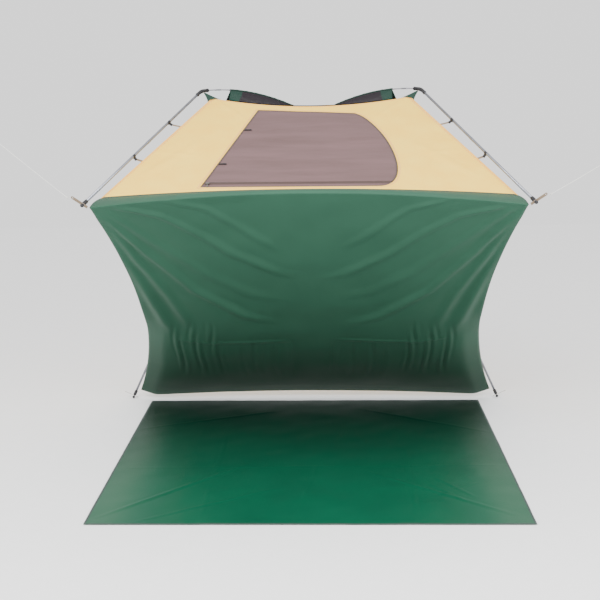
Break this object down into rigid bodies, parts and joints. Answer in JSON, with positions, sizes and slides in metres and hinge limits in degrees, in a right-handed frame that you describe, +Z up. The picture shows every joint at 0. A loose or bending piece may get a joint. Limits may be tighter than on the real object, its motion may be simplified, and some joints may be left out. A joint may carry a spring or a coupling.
{
  "type": "dome tent",
  "caption": "Dome tent with a sewn-in green tub floor, tan walls and a mesh door, tipped back on its rear feet over a separate ground sheet.",
  "frame": {"origin": "centre of the ground sheet's underside, on the ground", "axes": "+Z up, +X to the right seen from the front, +Y towards the rear feet"},
  "size_m": [4.0038, 3.3546, 2.688],
  "materials": {
    "ground_sheet": "coated green cloth, faint gloss",
    "floor": "coated dark green nylon, soft gloss",
    "tan_cloth": "matte woven nylon, tan",
    "wall_mesh": "fine grey-brown insect mesh",
    "roof_mesh": "dark insect mesh",
    "green_cloth": "woven green nylon",
    "steel_tube": "satin grey steel tube",
    "pole": "grey glass-fibre rod",
    "black_plastic": "black moulded plastic",
    "webbing": "brown ribbed webbing",
    "zip_metal": "dull plated metal",
    "line": "braided white line"
  },
  "bodies": {
    "ground": {"ground_sheet": "ground_sheet"},
    "tent": {"clip_lower_front_left": "black_plastic", "clip_lower_front_right": "black_plastic", "clip_lower_rear_left": "black_plastic", "clip_lower_rear_right": "black_plastic", "clip_upper_front_left": "black_plastic", "clip_upper_front_right": "black_plastic", "clip_upper_rear_left": "black_plastic", "clip_upper_rear_right": "black_plastic", "corner_patch_front_left": "green_cloth", "corner_patch_front_right": "green_cloth", "corner_patch_rear_left": "green_cloth", "corner_patch_rear_right": "green_cloth", "door_sill": "wall_mesh", "elbow_front_left": "black_plastic", "elbow_front_right": "black_plastic", "elbow_rear_left": "black_plastic", "elbow_rear_right": "black_plastic", "floor": "floor", "foot_front_left": "black_plastic", "foot_front_right": "black_plastic", "foot_rear_left": "black_plastic", "foot_rear_right": "black_plastic", "front_wall": "tan_cloth", "left_wall": "tan_cloth", "left_window": "wall_mesh", "line_left": "line", "line_right": "line", "lower_leg_front_left": "steel_tube", "lower_leg_front_right": "steel_tube", "lower_leg_rear_left": "steel_tube", "lower_leg_rear_right": "steel_tube", "rear_wall": "tan_cloth", "rear_window": "wall_mesh", "right_wall": "tan_cloth", "right_window": "wall_mesh", "roof_front": "roof_mesh", "roof_left": "roof_mesh", "roof_pole_lower": "pole", "roof_pole_upper": "pole", "roof_rear": "roof_mesh", "roof_right": "roof_mesh", "sleeve_front_left": "green_cloth", "sleeve_front_right": "green_cloth", "sleeve_rear_left": "green_cloth", "sleeve_rear_right": "green_cloth", "upper_leg_front_left": "steel_tube", "upper_leg_front_right": "steel_tube", "upper_leg_rear_left": "steel_tube", "upper_leg_rear_right": "steel_tube", "webbing_front_left": "webbing", "webbing_front_right": "webbing", "webbing_rear_left": "webbing", "webbing_rear_right": "webbing"},
    "door": {"door_panel": "wall_mesh"},
    "zip_slider": {"zip_slider": "zip_metal"},
    "zip_pull": {"zip_pull": "zip_metal"},
    "toggle_lower": {"door_toggle_lower": "black_plastic"},
    "toggle_upper": {"door_toggle_upper": "black_plastic"}
  },
  "joints": [
    {"name": "tent_tilt", "type": "hinge", "parent": "ground", "child": "tent", "pos_m": [0, 1.529, 0.012], "axis": [1, 0, 0], "range_deg": [0, 39.3]},
    {"name": "door_swing", "type": "hinge", "parent": "tent", "child": "door", "pos_m": [-0.5635, 0.00023, 2.28085], "axis": [-0.2844, -0.8651, -0.4133], "range_deg": [0, 115]},
    {"name": "zip_slide", "type": "slide", "parent": "tent", "child": "zip_slider", "axis": [1, 0, 0], "range_m": [0, 1.1]},
    {"name": "pull_swing", "type": "hinge", "parent": "zip_slider", "child": "zip_pull", "pos_m": [-0.685, -0.48413, 2.05432], "axis": [-1, 0, 0], "range_deg": [0, 85]},
    {"name": "toggle_lower_swing", "type": "hinge", "parent": "door", "child": "toggle_lower", "pos_m": [-0.62701, -0.23828, 2.17399], "axis": [-0.2844, -0.8651, -0.4133], "range_deg": [0, 60]},
    {"name": "toggle_upper_swing", "type": "hinge", "parent": "door", "child": "toggle_upper", "pos_m": [-0.47873, 0.21273, 2.38946], "axis": [-0.2844, -0.8651, -0.4133], "range_deg": [0, 60]}
  ]
}
